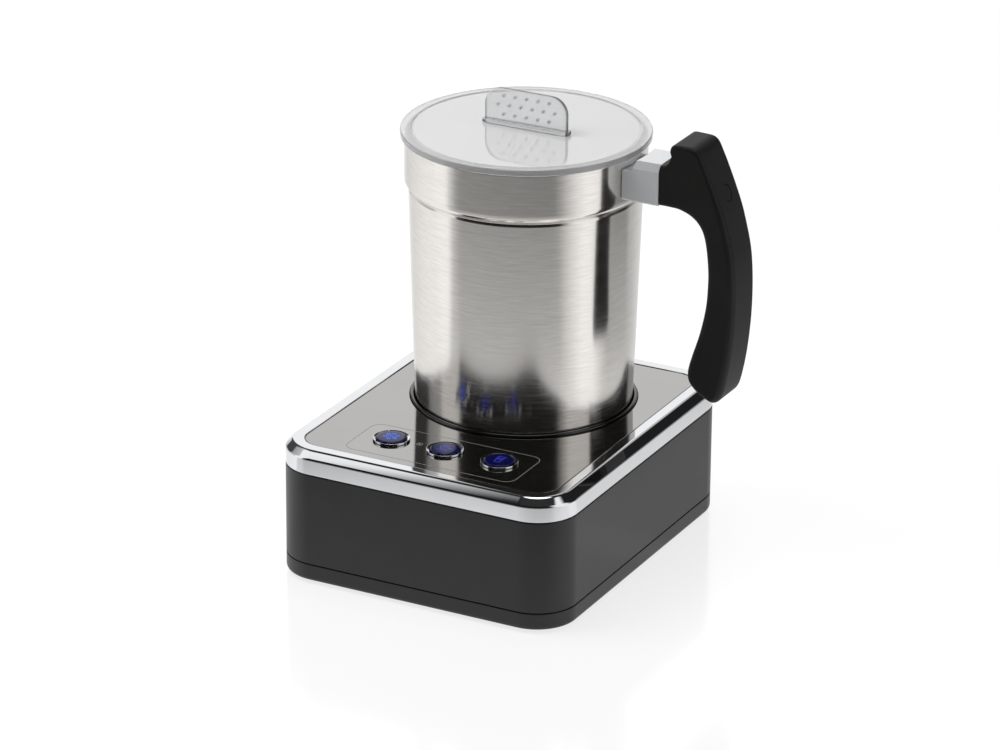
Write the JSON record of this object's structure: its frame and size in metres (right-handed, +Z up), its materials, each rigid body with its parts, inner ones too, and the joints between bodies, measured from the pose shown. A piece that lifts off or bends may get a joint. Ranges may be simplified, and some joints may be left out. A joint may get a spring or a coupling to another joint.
{
  "type": "milk frother",
  "caption": "Induction milk frother: square base with push buttons and a round well, and a lift-off steel jug with a side handle, a clear lid and a magnetic whisk.",
  "frame": {"origin": "centre of the object's bounding footprint, on the surface that its feet stand on", "axes": "+Z up, +X to the right along the front, where the jug's handle is, +Y to the back"},
  "size_m": [0.1798, 0.171, 0.2078],
  "materials": {
    "housing_black": "satin, fine moulded texture",
    "handle_black": "soft matte",
    "gloss_black": "gloss",
    "rubber": "matt",
    "silicone": "translucent matt",
    "chrome": "mirror polished",
    "plate_steel": "mirror polished",
    "jug_steel": "brushed round the jug",
    "zinc": "plain plated",
    "copper": "enamelled copper",
    "ferrite": "sintered",
    "magnet": "sintered",
    "board": "circuit board",
    "nylon": "natural nylon",
    "button_blue": "gloss, lit from inside",
    "clear_plastic": "crystal clear"
  },
  "bodies": {
    "base": {"foot_1": "rubber", "foot_2": "rubber", "foot_3": "rubber", "foot_4": "rubber", "bottom_cover": "housing_black", "cover_screw_1": "zinc", "cover_screw_2": "zinc", "cover_screw_3": "zinc", "cover_screw_4": "zinc", "base_housing": "housing_black", "cord_inlet": "rubber", "chrome_frame": "chrome", "top_plate": "plate_steel", "jug_well": "gloss_black", "well_gasket": "silicone", "temperature_sensor": "zinc", "induction_coil": "copper", "coil_carrier": "nylon", "ferrite_bar_1": "ferrite", "ferrite_bar_2": "ferrite", "ferrite_bar_3": "ferrite", "ferrite_bar_4": "ferrite", "motor_body": "zinc", "motor_mount": "nylon", "power_board": "board", "transformer": "nylon", "capacitor": "gloss_black", "heat_sink": "zinc", "control_board": "board", "cold_ring": "chrome", "hot_foam_ring": "chrome", "hot_milk_ring": "chrome", "cold_switch": "gloss_black", "hot_foam_switch": "gloss_black", "hot_milk_switch": "gloss_black", "indicator_lens": "clear_plastic"},
    "rotor": {"motor_shaft": "zinc", "drive_magnet": "magnet"},
    "jug": {"jug_body": "jug_steel", "whisk_spindle": "zinc", "handle_bracket": "chrome", "handle_grip": "handle_black", "handle_screw": "zinc", "handle_plug": "handle_black"},
    "whisk": {"whisk_hub": "gloss_black", "whisk_magnet": "magnet", "whisk_spring": "zinc"},
    "lid": {"lid": "clear_plastic", "lid_seal": "silicone", "lid_grip": "clear_plastic"},
    "cold_key": {"cold_button": "button_blue"},
    "hot_foam_key": {"hot_foam_button": "button_blue"},
    "hot_milk_key": {"hot_milk_button": "button_blue"}
  },
  "joints": [
    {"name": "jug_lift", "type": "slide", "parent": "base", "child": "jug", "axis": [0, 0, 1], "range_m": [0, 0.12]},
    {"name": "lid_lift", "type": "slide", "parent": "jug", "child": "lid", "axis": [0, 0, 1], "range_m": [0, 0.05]},
    {"name": "motor_spin", "type": "hinge", "parent": "base", "child": "rotor", "pos_m": [-0.01835, 0.021, 0.04], "axis": [0, 0, 1], "continuous": true},
    {"name": "whisk_spin", "type": "hinge", "parent": "jug", "child": "whisk", "pos_m": [-0.01835, 0.021, 0.065], "axis": [0, 0, 1], "continuous": true},
    {"name": "cold_press", "type": "slide", "parent": "base", "child": "cold_key", "axis": [0, 0, -1], "range_m": [0, 0.001], "stiffness_N_per_m": 500},
    {"name": "hot_foam_press", "type": "slide", "parent": "base", "child": "hot_foam_key", "axis": [0, 0, -1], "range_m": [0, 0.001], "stiffness_N_per_m": 500},
    {"name": "hot_milk_press", "type": "slide", "parent": "base", "child": "hot_milk_key", "axis": [0, 0, -1], "range_m": [0, 0.001], "stiffness_N_per_m": 500}
  ],
  "couplings": [
    {"joint": "whisk_spin", "follows": "motor_spin", "ratio": 1}
  ]
}
